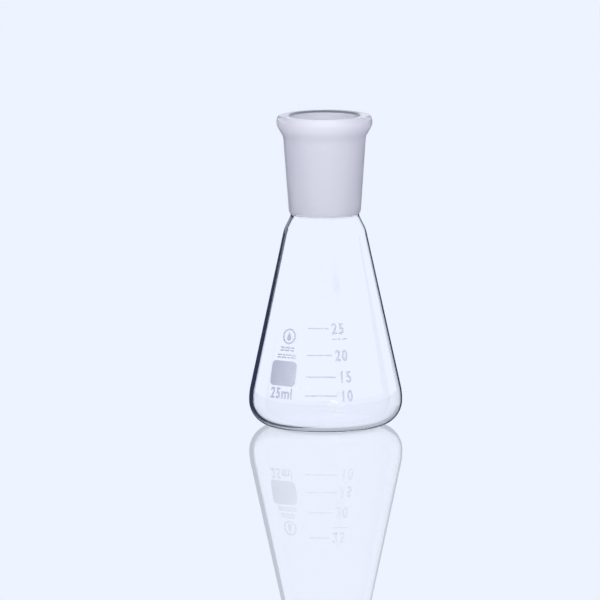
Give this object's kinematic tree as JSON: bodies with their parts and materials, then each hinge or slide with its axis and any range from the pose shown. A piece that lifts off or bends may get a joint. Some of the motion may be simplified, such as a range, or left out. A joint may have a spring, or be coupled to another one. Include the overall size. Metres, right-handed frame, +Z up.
{
  "type": "erlenmeyer flask",
  "caption": "Small conical laboratory flask of clear glass with a ground-taper socket, a rolled rim and a grey-white enamel volume scale.",
  "frame": {"origin": "centre of the foot circle, on the plane that the flask stands on", "axes": "+Z up along the flask's axis of revolution; the printed scale faces -Y; +X is to the right of the scale"},
  "size_m": [0.042, 0.0421, 0.0856],
  "materials": {
    "clear_glass": "polished",
    "ground_glass": "satin",
    "enamel": "satin"
  },
  "bodies": {
    "root": {"conical_body": "clear_glass", "joint_socket": "ground_glass", "capacity_2": "enamel", "capacity_5": "enamel", "capacity_l": "enamel", "capacity_m": "enamel", "emblem_drop": "enamel", "emblem_ring": "enamel", "graduation_line_10": "enamel", "graduation_line_15": "enamel", "graduation_line_20": "enamel", "graduation_line_25": "enamel", "numeral_10_ones": "enamel", "numeral_10_tens": "enamel", "numeral_15_ones": "enamel", "numeral_15_tens": "enamel", "numeral_20_ones": "enamel", "numeral_20_tens": "enamel", "numeral_25_ones": "enamel", "numeral_25_tens": "enamel", "print_bar_lower": "enamel", "print_bar_upper": "enamel", "scale_note_bar": "enamel", "write_on_patch": "enamel"}
  },
  "joints": []
}
